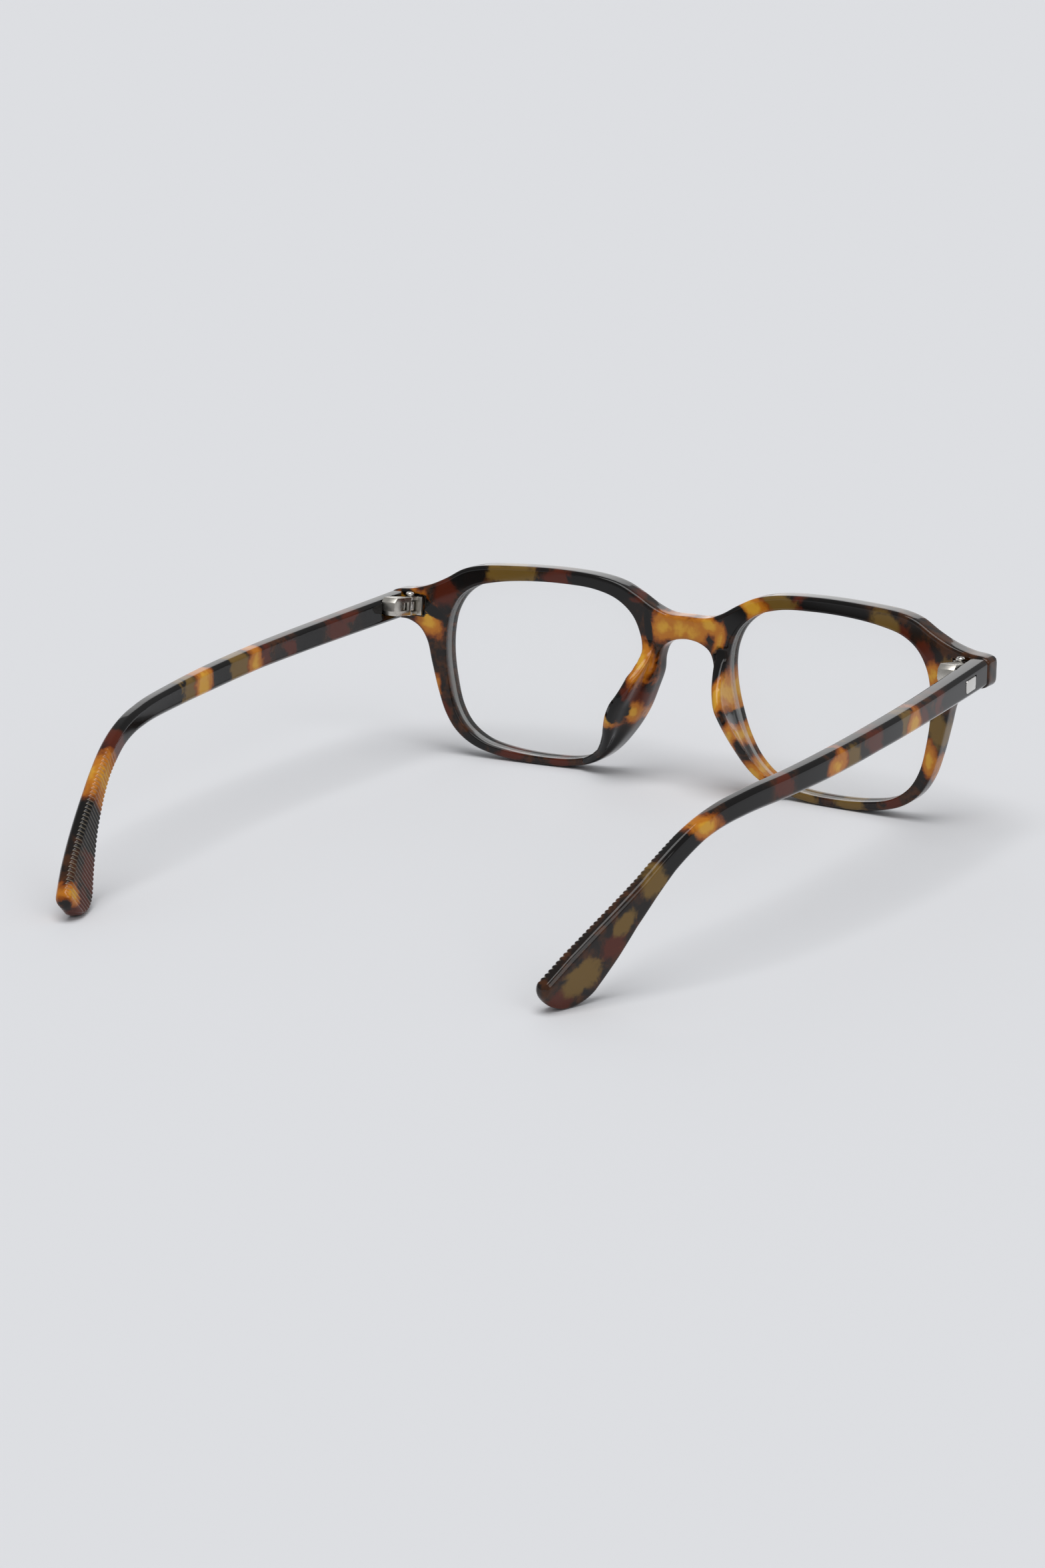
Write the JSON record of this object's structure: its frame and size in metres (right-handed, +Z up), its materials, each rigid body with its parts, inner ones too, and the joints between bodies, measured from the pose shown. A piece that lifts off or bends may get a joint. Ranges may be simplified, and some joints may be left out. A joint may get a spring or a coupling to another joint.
{
  "type": "eyeglasses frame",
  "caption": "Acetate eyeglasses frame with keyhole bridge, fixed nose pads, clear display lenses and folding temples on sprung hinges.",
  "frame": {"origin": "middle of the object's plan, on the surface it stands on", "axes": "+X to the wearer's left, +Y back along the temples, +Z up"},
  "size_m": [0.143, 0.149, 0.0434],
  "materials": {
    "tortoise_acetate": "polished mottled tortoiseshell acetate, near-black brown with amber and olive patches",
    "display_lens": "clear polished display lens",
    "satin_steel": "satin nickel-silver",
    "bright_steel": "bright polished steel"
  },
  "bodies": {
    "front": {"frame_front": "tortoise_acetate", "nose_pad_left": "tortoise_acetate", "nose_pad_right": "tortoise_acetate", "lens_left": "display_lens", "lens_right": "display_lens", "hinge_leaf_left": "satin_steel", "hinge_leaf_right": "satin_steel", "hinge_screw_left": "bright_steel", "hinge_screw_right": "bright_steel"},
    "carriage_left": {"hinge_carriage_left": "bright_steel", "guide_pin_left": "bright_steel"},
    "temple_arm_left": {"temple_left": "tortoise_acetate", "temple_plaque_left": "bright_steel", "hinge_case_left": "satin_steel", "spring_stop_left": "satin_steel", "flex_spring_left": "bright_steel"},
    "carriage_right": {"hinge_carriage_right": "bright_steel", "guide_pin_right": "bright_steel"},
    "temple_arm_right": {"temple_right": "tortoise_acetate", "temple_plaque_right": "bright_steel", "hinge_case_right": "satin_steel", "spring_stop_right": "satin_steel", "flex_spring_right": "bright_steel"}
  },
  "joints": [
    {"name": "temple_fold_left", "type": "hinge", "parent": "front", "child": "carriage_left", "pos_m": [0.0648, -0.06352, 0.03305], "axis": [0, -0.1368, 0.9906], "range_deg": [0, 88]},
    {"name": "flex_slide_left", "type": "slide", "parent": "carriage_left", "child": "temple_arm_left", "axis": [0, 0.9906, 0.1368], "range_m": [0, 0.0009], "stiffness_N_per_m": 1500, "deforming": ["flex_spring_left"]},
    {"name": "temple_fold_right", "type": "hinge", "parent": "front", "child": "carriage_right", "pos_m": [-0.0648, -0.06352, 0.03305], "axis": [0, 0.1368, -0.9906], "range_deg": [0, 82]},
    {"name": "flex_slide_right", "type": "slide", "parent": "carriage_right", "child": "temple_arm_right", "axis": [0, 0.9906, 0.1368], "range_m": [0, 0.0009], "stiffness_N_per_m": 1500, "deforming": ["flex_spring_right"]}
  ]
}
